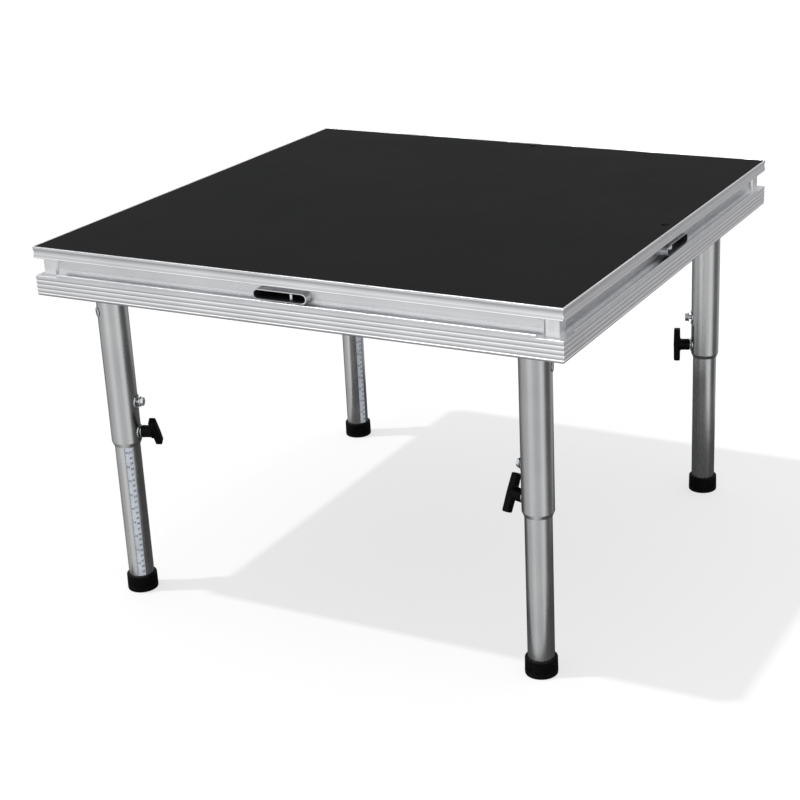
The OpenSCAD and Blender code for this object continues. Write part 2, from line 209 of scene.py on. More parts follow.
def skin(rings, loop=False):
    """Quads between rings of equal length, closed by a cap at each end or back to the first ring."""
    size = len(rings[0])
    points = [point for ring in rings for point in ring]
    faces = []
    for i in range(len(rings) if loop else len(rings) - 1):
        low, high = i * size, (i + 1) % len(rings) * size
        faces += [(low + j, low + (j + 1) % size, high + (j + 1) % size, high + j) for j in range(size)]
    if not loop:
        faces.append(tuple(reversed(range(size))))
        faces.append(tuple(range(len(points) - size, len(points))))
    return points, faces


def prism(outline, low, high, bevel):
    """The outline drawn up along Z, with both its rims rounded."""
    rim = [(bevel * (1 - math.sin(math.radians(a))), bevel * (1 - math.cos(math.radians(a))))
           for a in (0, 30, 60, 90)]
    rings = [(drawn_in, low + lift) for drawn_in, lift in rim]
    rings += [(drawn_in, high - lift) for drawn_in, lift in reversed(rim)]
    return skin([[(x, y, z) for x, y in inset(outline, drawn_in)] for drawn_in, z in rings])


def cup(outline, low, high, wall, floor, bevel):
    """An open box on the outline, its floor at the low end and its rim rounded."""
    steps = [(bevel, low), (0, low + bevel), (0, high - bevel), (bevel * 0.3, high - bevel * 0.3),
             (bevel, high), (wall * 0.55, high), (wall - bevel, high),
             (wall - bevel * 0.3, high - bevel * 0.3), (wall, high - bevel),
             (wall, low + floor + 1), (wall + 1, low + floor)]
    return skin([[(x, y, z) for x, y in inset(outline, drawn_in)] for drawn_in, z in steps])


def turned(rings, sides, loop=False):
    """A body turned about Z. A ring is (radius, z), and a radius may be a function of the angle."""
    points, faces, starts = [], [], []
    for radius, z in rings:
        starts.append(len(points))
        if radius == 0:
            points.append((0, 0, z))
            continue
        for angle in whole_turn(sides):
            r = radius(angle) if callable(radius) else radius
            points.append((r * math.cos(angle), r * math.sin(angle), z))
    for i in range(len(rings) if loop else len(rings) - 1):
        low, high = starts[i], starts[(i + 1) % len(rings)]
        pole_low, pole_high = rings[i][0] == 0, rings[(i + 1) % len(rings)][0] == 0
        for j in range(sides):
            k = (j + 1) % sides
            if pole_low:
                faces.append((low, high + k, high + j))
            elif pole_high:
                faces.append((low + j, low + k, high))
            else:
                faces.append((low + j, low + k, high + k, high + j))
    return points, faces


def turned_outline(corners, sides):
    """A body turned about Z from (radius, z, rounding) corners that don't reach the axis."""
    return turned(rounded(corners), sides, loop=True)


def moved(shell, matrix):
    """The shell under a transform."""
    return [tuple(matrix @ Vector(point)) for point in shell[0]], shell[1]


def hexagon(across_flats, limit):
    """Radius of a hexagon by angle, cut down to a cone's radius."""
    def radius(angle):
        flat = (angle + math.pi / 6) % (math.pi / 3) - math.pi / 6
        return min(across_flats / 2 / math.cos(flat), limit)
    return radius


def at(x, y, z):
    """A shift in millimetres."""
    return Matrix.Translation((x, y, z))


def spin(degrees, axis):
    """A turn about an axis."""
    return Matrix.Rotation(math.radians(degrees), 4, axis)


ALONG_X = spin(90, "Y")
INWARDS = spin(-90, "X")
OUTWARDS = spin(90, "X")
# A prism on an outline of (depth, height) is laid along a side
ALONG_SIDE = Matrix(((0, 0, 1, 0), (1, 0, 0, 0), (0, 1, 0, 0), (0, 0, 0, 1)))
# A prism on an outline of (height, distance along X) is laid across the X axis
ACROSS_X = Matrix(((0, 1, 0, 0), (0, 0, 1, 0), (1, 0, 0, 0), (0, 0, 0, 1)))


def side(k):
    """From a frame with x along side k, y inwards and z up from the deck's edge, to the platform."""
    return spin(90 * k, "Z") @ at(0, -HALF, TOP)


def leg(corner):
    """From a leg's own frame to the platform."""
    return at(LEG[corner].x, LEG[corner].y, 0) @ spin(LEG_TURNS[corner], "Z")


# ---- Pieces ----

def link(name, mesh):
    made = bpy.data.objects.new(name, mesh)
    scene.collection.objects.link(made)
    return made


def build_mesh(name, shells):
    """One mesh in metres from several shells, with its normals facing out."""
    points, faces = [], []
    for shell_points, shell_faces in shells:
        offset = len(points)
        points += [Vector(point) * MM for point in shell_points]
        faces += [[i + offset for i in face] for face in shell_faces]
    mesh = bpy.data.meshes.new(name)
    mesh.from_pydata(points, [], faces)
    work = bmesh.new()
    work.from_mesh(mesh)
    bmesh.ops.recalc_face_normals(work, faces=work.faces)
    work.to_mesh(mesh)
    work.free()
    return mesh


def shade(made, sharp=38):
    """Smooth shading that keeps flat faces flat and edges over an angle sharp."""
    made.data.polygons.foreach_set("use_smooth", [True] * len(made.data.polygons))
    made.data.set_sharp_from_angle(angle=math.radians(sharp))
    weighted = made.modifiers.new("weighted", "WEIGHTED_NORMAL")
    weighted.keep_sharp = True


def combine(made, shells, operation="DIFFERENCE"):
    """Cuts shells out of a piece, or adds them to it."""
    tools = []
    for shell in shells:
        tool = link("tool", build_mesh("tool", [shell]))
        step = made.modifiers.new("step", "BOOLEAN")
        step.operation, step.object, step.solver = operation, tool, "EXACT"
        tools.append(tool)
    bake(made)
    for tool in tools:
        bpy.data.objects.remove(tool)


def bake(made):
    """Applies a piece's modifiers to its mesh."""
    bpy.context.view_layer.update()
    evaluated = made.evaluated_get(bpy.context.evaluated_depsgraph_get())
    made.data = bpy.data.meshes.new_from_object(evaluated)
    made.modifiers.clear()


def stand_for(made, node, material):
    """The piece gets its material, rides on the node's body and replaces the node."""
    made.data.materials.clear()
    made.data.materials.append(material)
    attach(made, BODY_OF[node])
    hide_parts(node)
    return made


def piece(name, shells, node, material, cuts=()):
    """A finished piece in the platform's frame that stands for a CAD node."""
    made = link(name, build_mesh(name, shells))
    if cuts:
        combine(made, cuts)
    shade(made)
    return stand_for(made, node, material)


# ---- Materials ----

# The colour sockets of a Mix node
COLOUR_A, COLOUR_B, COLOUR_OUT = 6, 7, 2


class Look:
    """A procedural material. Its patterns lie in the object's own space, in metres."""

    def __init__(self, name, **sockets):
        self.material = bpy.data.materials.new(name)
        self.material.use_nodes = True
        self.nodes = self.material.node_tree.nodes
        self.links = self.material.node_tree.links
        self.shader = self.nodes["Principled BSDF"]
        self.place = self.nodes.new("ShaderNodeTexCoord").outputs["Object"]
        for socket, value in sockets.items():
            self.shader.inputs[socket.replace("_", " ")].default_value = value

    def stretched(self, scale):
        """Coordinates scaled by a factor along each axis."""
        mapping = self.nodes.new("ShaderNodeMapping")
        mapping.inputs["Scale"].default_value = scale
        self.links.new(self.place, mapping.inputs["Vector"])
        return mapping.outputs["Vector"]

    def noise(self, scale, detail, seed, vector=None):
        texture = self.nodes.new("ShaderNodeTexNoise")
        texture.noise_dimensions = "4D"
        texture.inputs["Scale"].default_value = scale
        texture.inputs["Detail"].default_value = detail
        texture.inputs["W"].default_value = seed
        self.links.new(vector or self.place, texture.inputs["Vector"])
        return texture.outputs["Fac"]

    def ranged(self, value, low, high, start=0.3, end=0.7):
        """Maps a value between start and end onto low to high."""
        node = self.nodes.new("ShaderNodeMapRange")
        for socket, number in zip(("From Min", "From Max", "To Min", "To Max"), (start, end, low, high)):
            node.inputs[socket].default_value = number
        self.links.new(value, node.inputs["Value"])
        return node.outputs["Result"]

    def maths(self, operation, first, second):
        node = self.nodes.new("ShaderNodeMath")
        node.operation = operation
        for socket, value in zip(node.inputs, (first, second)):
            if isinstance(value, (int, float)):
                socket.default_value = value
            else:
                self.links.new(value, socket)
        return node.outputs["Value"]

    def mixed(self, factor, first, second):
        """Colour between two colours or sockets."""
        node = self.nodes.new("ShaderNodeMix")
        node.data_type = "RGBA"
        self.links.new(factor, node.inputs["Factor"])
        for socket, colour in ((node.inputs[COLOUR_A], first), (node.inputs[COLOUR_B], second)):
            if isinstance(colour, tuple):
                socket.default_value = (*colour, 1)
            else:
                self.links.new(colour, socket)
        return node.outputs[COLOUR_OUT]

    def bumped(self, height, distance, under=None):
        node = self.nodes.new("ShaderNodeBump")
        node.inputs["Strength"].default_value = 1
        node.inputs["Distance"].default_value = distance
        self.links.new(height, node.inputs["Height"])
        if under:
            self.links.new(under, node.inputs["Normal"])
        return node.outputs["Normal"]

    def finish(self, colour, roughness, normal=None):
        self.links.new(colour, self.shader.inputs["Base Color"])
        self.links.new(roughness, self.shader.inputs["Roughness"])
        if normal:
            self.links.new(normal, self.shader.inputs["Normal"])
        return self.material


def drawn_metal(name, axis, light, dark, smooth, rough, line=1100):
    """Metal with fine lines along an axis, soft stains and a few long scratches."""
    look = Look(name, Metallic=1.0)

    def drawn(along, across):
        return look.stretched([along if i == axis else across for i in range(3)])

    lines = look.noise(1, 3, 1.0, drawn(4, line))
    bands = look.noise(1, 2, 2.0, drawn(1.5, 130))
    stains = look.noise(11, 4, 3.0)
    scratches = look.ranged(look.noise(1, 1, 4.0, drawn(9, line * 0.7)), 0, 1, 0.70, 0.76)
    tone = look.maths("ADD", look.ranged(bands, -0.25, 0.25), look.ranged(stains, 0.15, 0.85))
    colour = look.mixed(tone, dark, light)
    gloss = look.maths("ADD", look.ranged(lines, smooth, rough), look.ranged(stains, -0.03, 0.05))
    gloss = look.maths("ADD", gloss, look.maths("MULTIPLY", scratches, 0.12))
    return look.finish(colour, gloss, look.bumped(lines, 0.00001))


def cast_metal(name, light, dark, smooth, rough, metallic=1.0, grain=900, depth=0.00008):
    """Cast or plated metal with a grainy surface and a soft mottle."""
    look = Look(name, Metallic=metallic)
    mottle = look.noise(60, 4, 1.0)
    sand = look.noise(grain, 3, 2.0)
    colour = look.mixed(look.ranged(mottle, 0, 1), dark, light)
    return look.finish(colour, look.ranged(sand, smooth, rough), look.bumped(sand, depth))


def worn_plastic(name, dark, light, smooth, rough, grain, depth, dust=0.0):
    """Moulded plastic or rubber with a spark-eroded grain, scuffs and dust low down."""
    look = Look(name, Specular_IOR_Level=0.08)
    scuffs = look.ranged(look.noise(90, 5, 1.0), 0, 1, 0.55, 0.75)
    skin_grain = look.noise(grain, 2, 2.0)
    tone = scuffs
    if dust:
        height = look.nodes.new("ShaderNodeSeparateXYZ")
        look.links.new(look.place, height.inputs["Vector"])
        low_down = look.ranged(height.outputs["Z"], dust, 0, 0, 0.012)
        tone = look.maths("ADD", scuffs, look.maths("MULTIPLY", low_down, look.noise(250, 4, 3.0)))
    colour = look.mixed(tone, dark, light)
    gloss = look.maths("ADD", look.ranged(skin_grain, smooth, rough), look.maths("MULTIPLY", scuffs, 0.1))
    return look.finish(colour, gloss, look.bumped(skin_grain, depth))


# Wave textures repeat every 2.8 mm, the pitch of the film's emboss and of two plies
WAVE_SCALE = 2 * math.pi / (20 * 0.0028)


def deck_film():
    """Phenolic film with a fine square emboss, matte, with faint foot scuffs."""
    look = Look("anti_slip_film", Specular_IOR_Level=0.04)
    across = [look.nodes.new("ShaderNodeTexWave") for _ in range(2)]
    for wave, direction in zip(across, ("X", "Y")):
        wave.bands_direction = direction
        wave.inputs["Scale"].default_value = WAVE_SCALE
        look.links.new(look.place, wave.inputs["Vector"])
    mesh = look.maths("MAXIMUM", across[0].outputs["Fac"], across[1].outputs["Fac"])
    fine = look.noise(2500, 2, 1.0)
    scuffs = look.ranged(look.noise(7, 6, 2.0), 0, 1, 0.35, 0.75)
    marks = look.ranged(look.noise(1, 4, 3.0, look.stretched((25, 160, 60))), 0, 1, 0.66, 0.8)
    wear = look.maths("ADD", look.maths("MULTIPLY", scuffs, 0.5), look.maths("MULTIPLY", marks, 0.3))
    colour = look.mixed(wear, (0.0030, 0.0031, 0.0034), (0.0058, 0.0060, 0.0062))
    normal = look.bumped(fine, 0.00003, under=look.bumped(mesh, 0.00006))
    return look.finish(colour, look.ranged(scuffs, 0.62, 0.74, 0, 1), normal)


def plywood():
    """Birch plywood under the deck's film, coloured near black as painted shade in the key holes through it.
    """
    look = Look("plywood_painted_shade", Specular_IOR_Level=0.25)
    grain = look.noise(1, 6, 1.0, look.stretched((3, 90, 90)))
    pores = look.noise(1, 3, 2.0, look.stretched((30, 900, 900)))
    flame = look.noise(1, 2, 3.0, look.stretched((1.2, 8, 8)))
    plies = look.nodes.new("ShaderNodeTexWave")
    plies.bands_direction = "Z"
    plies.inputs["Scale"].default_value = WAVE_SCALE
    look.links.new(look.place, plies.inputs["Vector"])
    tone = look.maths("ADD", look.ranged(grain, 0, 0.7), look.ranged(flame, 0, 0.3))
    # Near black tones: painted shade in the key holes through the board, not the wood's own colour
    colour = look.mixed(tone, (0.006, 0.0045, 0.0035), (0.014, 0.010, 0.008))
    glue_lines = look.ranged(plies.outputs["Fac"], 0, 0.35, 0.5, 0.9)
    colour = look.mixed(glue_lines, colour, (0.004, 0.003, 0.0025))
    return look.finish(colour, look.ranged(pores, 0.45, 0.62), look.bumped(pores, 0.00006))


def tape_vinyl():
    """White vinyl, a little soiled by handling."""
    look = Look("printed_tape", Specular_IOR_Level=0.5)
    soil = look.ranged(look.noise(40, 5, 1.0), 0, 1, 0.45, 0.8)
    colour = look.mixed(soil, (0.48, 0.51, 0.57), (0.38, 0.40, 0.44))
    orange_peel = look.noise(700, 2, 2.0)
    return look.finish(colour, look.ranged(orange_peel, 0.3, 0.42), look.bumped(orange_peel, 0.00002))


def printed_ink():
    """Dark print, slightly worn."""
    look = Look("printed_figures", Specular_IOR_Level=0.4)
    wear = look.ranged(look.noise(900, 4, 1.0), 0, 1, 0.5, 0.8)
    colour = look.mixed(wear, (0.010, 0.011, 0.016), (0.04, 0.042, 0.05))
    return look.finish(colour, look.ranged(wear, 0.4, 0.6))


FRAME_LIGHT = (0.71, 0.715, 0.73)
FRAME_DARK = (0.62, 0.625, 0.645)
rail_metal = [drawn_metal(f"frame_aluminium_{name}", axis, FRAME_LIGHT, FRAME_DARK, 0.24, 0.36)
              for name, axis in (("x", 0), ("y", 1))]
milled_metal = drawn_metal("frame_aluminium_milled", 2, (0.80, 0.805, 0.815), (0.70, 0.705, 0.72),
                           0.30, 0.42)
tube_metal = drawn_metal("tube_aluminium", 2, (0.60, 0.605, 0.61), (0.50, 0.505, 0.515), 0.20, 0.30, 900)
socket_metal = cast_metal("cast_aluminium", (0.50, 0.51, 0.53), (0.38, 0.39, 0.41), 0.5, 0.68,
                          depth=0.00015)
housing_metal = cast_metal("lock_casting", (0.66, 0.665, 0.68), (0.56, 0.565, 0.58), 0.30, 0.42)
# Near black casting for the housings' insides: painted shade in the recess, not the casting's own colour
housing_painted_shade = cast_metal("lock_casting_painted_shade", (0.030, 0.030, 0.036), (0.010, 0.010, 0.013), 0.5, 0.66,
                            0.6)
hook_metal = cast_metal("hook_steel", (0.90, 0.94, 0.92), (0.62, 0.66, 0.65), 0.20, 0.34, 0.1,
                        depth=0.00002)
pin_metal = drawn_metal("bright_steel", 2, (0.82, 0.83, 0.84), (0.70, 0.71, 0.72), 0.16, 0.26, 1500)
zinc_metal = cast_metal("zinc_steel", (0.70, 0.71, 0.74), (0.52, 0.535, 0.56), 0.24, 0.4, grain=1400,
                        depth=0.00001)
knob_plastic = worn_plastic("black_plastic", (0.0010, 0.0010, 0.0013), (0.004, 0.004, 0.005), 0.36, 0.5,
                            1800, 0.00003)
foot_rubber = worn_plastic("black_rubber", (0.0008, 0.0008, 0.0009), (0.0045, 0.0045, 0.0042), 0.55, 0.72,
                           1200, 0.00006, dust=0.9)
film = deck_film()
birch_painted_shade = plywood()
vinyl = tape_vinyl()
ink = printed_ink()


# ---- Frame rails ----

def surface_depth(drop):
    """Depth of a rail's outer surface at a drop, on its flute and on its ribs."""
    if drop < MOUTH_DROP and abs(drop - FLUTE_DROP) < FLUTE_RADIUS:
        return max(0, math.sqrt(FLUTE_RADIUS ** 2 - (drop - FLUTE_DROP) ** 2) + FLUTE_CENTRE)
    nearest = min(abs(drop - groove) for groove in GROOVE_DROPS)
    if drop > FLOOR_DROP and nearest < GROOVE_RADIUS:
        return max(0, GROOVE_CENTRE + math.sqrt(GROOVE_RADIUS ** 2 - nearest ** 2))
    return 0


def rail_outline():
    """Section of a rail as (depth, height), with its flute, bead, channel and ribs."""
    reach = math.degrees(math.asin(math.sqrt(FLUTE_RADIUS ** 2 - FLUTE_CENTRE ** 2) / FLUTE_RADIUS))
    flute = arc(FLUTE_CENTRE, -FLUTE_DROP, FLUTE_RADIUS, reach * 0.93, -reach * 0.76, 4)
    spread = math.degrees(math.acos((RIB_CROWN - GROOVE_CENTRE) / GROOVE_RADIUS))
    half_groove = GROOVE_RADIUS * math.sin(math.radians(spread))
    corners = [(RIM, 0, 0.3), (0, 0, 0.45), (0, -3.4, 0.6)]
    corners += [(x, y, 0) for x, y in flute]
    corners += [(0.45, -16.7, 0.3), (0, -17.5, 0.3), (0, -MOUTH_DROP, 0.4), (LIP_DEPTH, -MOUTH_DROP, 0.5),
                (LIP_DEPTH, -FLANGE_DROP, 0.2), (CHANNEL_DEPTH, -FLANGE_DROP, 0.8),
                (CHANNEL_DEPTH, -37.5, 3), (CHANNEL_FOOT, -FLOOR_DROP, 0.8),
                (0, -FLOOR_DROP, 0.6)]
    top = FLOOR_DROP + 0.7
    for groove in GROOVE_DROPS:
        low = groove - half_groove
        for i in range(1, 7):
            share = i / 7
            corners.append((RIB_CROWN * (2 * share - 1) ** 2, -(top + (low - top) * share), 0))
        corners += [(x, y, 0) for x, y in arc(GROOVE_CENTRE, -groove, GROOVE_RADIUS, spread, -spread, 15)]
        top = groove + half_groove
    corners += [(0, -top - 0.25, 0), (0, -RAIL_DROP, 4.4), (RAIL_DEPTH, -RAIL_DROP, 4.5),
                (RAIL_DEPTH, -FLANGE_DROP, 1.0), (FLANGE_REACH, -FLANGE_DROP, 0.8),
                (FLANGE_REACH, -LEDGE_DROP, 0.8), (RIM, -LEDGE_DROP, 0.1)]
    return rounded(corners)


def rail_shell():
    """A rail with mitred ends, each a hairline open to the next rail's."""
    outline = rail_outline()
    seam = inset(outline, 0.12)

    def ring(points, gap, end):
        """The section at a small distance from a mitre, where the outer tip is dressed off."""
        made = []
        for depth, height in points:
            tip = surface_depth(-height) + CORNER_TIP if depth < LIP_DEPTH else 0
            made.append((end * (HALF - max(depth, tip) - gap), depth, height))
        return made

    return skin([ring(seam, 0.02, -1), ring(outline, 0.2, -1), ring(outline, 0.2, 1), ring(seam, 0.02, 1)])


def lock_window():
    """The slot through a rail for a lock's housing."""
    outline = obround(LOCK_LENGTH + 0.5, LOCK_HEIGHT + 0.5)
    through = prism(outline, CHANNEL_DEPTH - 1, RAIL_DEPTH + 1, 0.01)
    return moved(through, at(0, 0, -LOCK_DROP) @ INWARDS)


def key_way(low, high, radius):
    """An upright hole over a lock's hook."""
    hole = turned([(0, low), (radius, low), (radius, high), (0, high)], 48)
    return moved(hole, at(HOOK_OFFSET, HOOK_DEPTH, 0))


def make_rails():
    whole = rail_shell()
    lip_outline = rounded([(LIP_DEPTH, -LIP_DROP, 0.5), (0, -LIP_DROP, 0.8),
                           (0, -FLOOR_DROP, 0.6), (LIP_DEPTH, -FLOOR_DROP, 0.2)])
    reach = HALF - LIP_NOTCH
    lip = moved(prism(lip_outline, -reach, reach, 0.5), ALONG_SIDE)
    for k, name in enumerate(SIDES):
        cuts = [lock_window()]
        if k in (1, 2):
            cuts.append(key_way(-LOCK_DROP + 4, -LEDGE_DROP + 1, KEY_RADIUS + 1.5))
        place = side(k)
        metal = rail_metal[k % 2]
        piece(f"{name}_rail_extrusion", [moved(whole, place)], f"{name}_rail", metal,
              [moved(cut, place) for cut in cuts])
        piece(f"{name}_rail_lip", [moved(lip, place)], f"{name}_rail", metal)


def corner_bead(from_drop, to_drop):
    """A dressed seam up a corner that follows the outer surface of the rails."""
    rings = []
    count = int((to_drop - from_drop) / 0.8)
    for i in range(count + 1):
        drop = from_drop + (to_drop - from_drop) * i / count
        taper = min(1, 0.25 + i * 0.4, 0.25 + (count - i) * 0.4)
        ripple = 1 + 0.30 * math.sin(drop * 1.8) + 0.10 * math.sin(drop * 5.1)
        radius = BEAD_RADIUS * taper * ripple
        centre = surface_depth(drop) + max(radius, CORNER_TIP)
        rings.append([(centre + radius * math.cos(a), centre + radius * math.sin(a), -drop)
                      for a in whole_turn(14)])
    return skin(rings)


def make_corners():
    """Beads at the corner seams, and the angle pieces in the channel."""
    beads, angles = [], []
    outline = rounded([(11, 11, 0.7), (32.5, 11, 2), (37, 15.5, 0.3),
                       (15.5, 15.5, 1.5), (15.5, 37, 0.3), (11, 32.5, 2)])
    for k in range(4):
        place = spin(90 * k, "Z") @ at(-HALF, -HALF, TOP)
        beads.append(moved(corner_bead(0.7, MOUTH_DROP - 1.8), place))
        beads.append(moved(corner_bead(FLOOR_DROP + 0.5, RAIL_DROP - 3.4), place))
        angles.append(moved(prism(outline, -FLOOR_DROP, -FLANGE_DROP, 0.4), place))
    piece("corner_seams", beads, "corner_angles", milled_metal)
    piece("corner_angle_pieces", angles, "corner_angles", milled_metal)


def make_rivets():
    """Domed blind rivets, each with its mandrel's hollow."""
    head = turned([(0, -2.6), (1.45, -2.6), (1.5, -0.05), (3.25, 0), (3.2, 0.35), (2.9, 0.85), (2.3, 1.35),
                   (1.6, 1.65), (1.15, 1.7), (0.95, 1.5), (0.85, 1.1), (0, 1.05)], 40)
    shells = []
    for k in range(4):
        for end in (-1, 1):
            spot = at(end * (HALF - LIP_NOTCH), CHANNEL_DEPTH, -RIVET_DROP) @ OUTWARDS
            shells.append(moved(head, side(k) @ spot))
    piece("blind_rivets", shells, "rail_rivets", milled_metal)


# ---- Deck ----

def make_deck():
    """The film, with eased key holes, on its plywood board."""
    reach = HALF - RIM - 0.05
    sheet = rounded([(-reach, -reach, 0.8), (reach, -reach, 0.8), (reach, reach, 0.8), (-reach, reach, 0.8)])
    eased = turned([(0, -3), (KEY_RADIUS, -3), (KEY_RADIUS, -0.9),
                    (KEY_RADIUS + 0.5, -0.4), (KEY_RADIUS + 0.5, 1), (0, 1)], 64)
    cuts = [moved(eased, side(k) @ at(HOOK_OFFSET, HOOK_DEPTH, 0)) for k in (1, 2)]
    flat = moved(prism(sheet, -1.2, -0.4, 0.25), at(0, 0, TOP))
    piece("deck_film", [flat], "anti_slip_surface", film, cuts)


def make_board_screws():
    """Countersunk screws with a hexagon recess."""
    socket = hexagon(3, 2.2)
    screw = turned([(0, 11), (0.4, 10.4), (1.95, 7.5), (1.95, 0), (2.8, 0), (3.9, -1.6), (4.0, -1.85),
                    (3.8, -2.0), (1.9, -2.0), (socket, -1.8), (socket, -0.6), (0, -0.3)], 48)
    spots, from_face = (-300, -130, 130, 300), 34
    shells = [moved(screw, side(k) @ at(x, from_face, -FLANGE_DROP)) for k in range(4) for x in spots]
    piece("countersunk_screws", shells, "board_screws", zinc_metal)


# ---- Locks and catches ----

def housing_shell():
    """The cast housing, open towards the outside."""
    shell = cup(obround(LOCK_LENGTH, LOCK_HEIGHT), -LOCK_BACK, -LOCK_FRONT, LOCK_WALL, LOCK_WALL, 0.6)
    return moved(shell, at(0, 0, -LOCK_DROP) @ OUTWARDS)


def paint_shade_inside(made, k):
    """Paints shade onto a housing: near black on its inside and the inner edge of its mouth, all of the
    mouth on a lock.
    """
    made.data.materials.append(housing_painted_shade)
    run = (LOCK_LENGTH - LOCK_HEIGHT) / 2
    to_side = side(k).inverted()
    for face in made.data.polygons:
        spot = to_side @ (face.center / MM)
        from_core = math.hypot(max(abs(spot.x) - run, 0), spot.z + LOCK_DROP)
        # How far in from the mouth's edge the painted shade starts. A lock is shaded right up to its rim. A
        # catch keeps a light rim that is wider at its right end, which is a painted highlight.
        if k in (1, 2):
            painted_shade_edge = 0.7
        else:
            painted_shade_edge = 2.1 if spot.x > run else 1.25
        if from_core < LOCK_HEIGHT / 2 - painted_shade_edge and spot.y < LOCK_BACK - 1:
            face.material_index = 1


def upright_pin(radius, height):
    """A pin along Z with eased ends."""
    half, ease = height / 2, 0.4
    return turned([(0, -half), (radius - ease, -half), (radius, -half + ease), (radius, half - ease),
                   (radius - ease, half), (0, half)], 40)


def hook_outline():
    """Drum and arm of a hook, with the slot that takes a catch pin, round the hook's own axis."""
    drum, tip, slot_in, slot_out = 11, 37.5, 26.3, 33.1
    lead, slot_end, trail = -8, 10, 20

    def polar(radius, angle, rounding=0):
        return (radius * math.cos(math.radians(angle)), radius * math.sin(math.radians(angle)), rounding)

    corners = [polar(drum - 0.5, lead), polar(slot_in, lead, 1.2)]
    corners += [polar(slot_in, a) for a in (-4, 0, 4)]
    corners += [polar(slot_in, slot_end, 2.5), polar(slot_out, slot_end, 2.5)]
    corners += [polar(slot_out, a) for a in (5, 1, -3)]
    corners += [polar(slot_out, lead, 1.0), polar(tip, lead + 1, 1.4)]
    corners += [polar(tip, a) for a in (-2, 3, 8, 13)]
    corners += [polar(tip, trail, 3), polar(drum + 2, trail + 4, 1.5)]
    corners += [polar(drum, a) for a in range(40, 346, 9)]
    return rounded(corners)


def make_locks():
    height = LOCK_HEIGHT - 2 * LOCK_WALL - 0.6
    journal_hole = moved(upright_pin(5.06, LOCK_HEIGHT + 4), at(HOOK_OFFSET, HOOK_DEPTH, -LOCK_DROP))
    key_socket = turned([(0, LOCK_HEIGHT / 2 - 9), (hexagon(6.5, 9), LOCK_HEIGHT / 2 - 9),
                         (hexagon(6.5, 9), LOCK_HEIGHT), (0, LOCK_HEIGHT)], 24)
    for k, name in enumerate(["catch_front", "lock_right", "lock_rear", "catch_left"]):
        cuts = [moved(journal_hole, side(k))] if name.startswith("lock") else ()
        made = piece(f"{name}_casting", [moved(housing_shell(), side(k))], name, housing_metal, cuts)
        # Painted shade inside the housing, with a painted highlight on a catch's rim
        paint_shade_inside(made, k)
    pin = at(PIN_OFFSET, PIN_DEPTH, -LOCK_DROP)
    shells = [moved(upright_pin(3, LOCK_HEIGHT - 2 * LOCK_WALL + 0.4), side(k) @ pin) for k in (0, 3)]
    piece("ground_pins", shells, "catch_pins", pin_metal)
    for k, name in ((1, "hook_right"), (2, "hook_rear")):
        place = side(k) @ at(HOOK_OFFSET, HOOK_DEPTH, -LOCK_DROP)
        forging = moved(prism(hook_outline(), -height / 2, height / 2, 0.7), place)
        made = link(f"{name}_forging", build_mesh(name, [forging]))
        combine(made, [moved(upright_pin(5, LOCK_HEIGHT), place)], "UNION")
        combine(made, [moved(key_socket, place)])
        shade(made)
        stand_for(made, name, hook_metal)


# ---- Legs ----

def outer_tube_shell():
    """The upper tube, turned down to a cone at its mouth."""
    return turned_outline([(OUTER_BORE_R, TUBE_LOW, 0.15), (MOUTH_R, TUBE_LOW, 0.2),
                           (OUTER_R, TUBE_LOW + MOUTH_HEIGHT, 1), (OUTER_R, TUBE_HIGH, 0.5),
                           (OUTER_BORE_R, TUBE_HIGH, 0.3)], 128)


def inner_tube_shell():
    return turned_outline([(INNER_BORE_R, INNER_LOW, 0.2), (INNER_R, INNER_LOW, 0.2),
                           (INNER_R, INNER_HIGH, 0.6), (INNER_BORE_R, INNER_HIGH, 0.4)], 128)


def boss_shell(end):
    """A threaded boss along +X, from the tube's wall to its nose."""
    start, bore = 22.6, 5
    return turned_outline([(bore, start, 0), (10.2, start, 0), (8.6, end - 0.9, 0.6),
                           (8.0, end, 0.3), (bore, end, 0.3)], 64)


def weld_shell():
    """A rippled weld round a boss, along the line where it meets the tube."""
    rings = []
    seat = 10.4
    for turn in whole_turn(96):
        out = Vector((0, math.cos(turn), math.sin(turn)))
        centre = out * (seat + 0.5)
        centre.x = math.sqrt(OUTER_R ** 2 - centre.y ** 2) + 0.1
        ripple = 1 + 0.16 * abs(math.sin(turn * 13))
        rings.append([tuple(centre + (out * math.cos(a) + Vector((1, 0, 0)) * math.sin(a)) * 1.35 * ripple)
                      for a in whole_turn(10)])
    return skin(rings, loop=True)


def lock_bolt_shells():
    """A hexagon bolt along +X on its washer, down to the lower tube."""
    seat, tip = BOLT_BOSS_END, INNER_R + 0.4
    head_low = seat + 1.5
    flats = 13
    full = hexagon(flats, 99)
    low_cone = [(hexagon(flats, flats / 2 * 0.97), head_low), (full, head_low + 0.5)]
    high_cone = [(hexagon(flats, 7.6 - 0.42 * i), head_low + 4.4 + 0.22 * i) for i in range(6)]
    head = turned([(0, tip), (3.3, tip), (4, tip + 0.8), (4, head_low)] + low_cone + high_cone
                  + [(4.4, head_low + 5.5), (4.0, head_low + 5.35), (0, head_low + 5.35)], 72)
    ring = turned_outline([(4.2, seat, 0.1), (8.5, seat, 0.2),
                           (8.5, seat + 1.5, 0.45), (4.2, seat + 1.5, 0.2)], 56)
    return [moved(head, ALONG_X), moved(ring, ALONG_X)]


def stop_bolt_shell():
    """A bolt along +X with a low domed head and a hexagon recess."""
    seat, recess = OUTER_R, hexagon(5, 99)
    bolt = turned([(0, -5), (3.3, -5), (4, -4.2), (4, seat - 0.5), (8.2, seat - 0.5), (8.4, seat + 0.3),
                   (8.1, seat + 0.8), (7.0, seat + 1.3), (5.4, seat + 1.55), (3.4, seat + 1.6),
                   (recess, seat + 1.4), (recess, seat - 1.2), (0, seat - 1.5)], 72)
    return moved(bolt, ALONG_X)


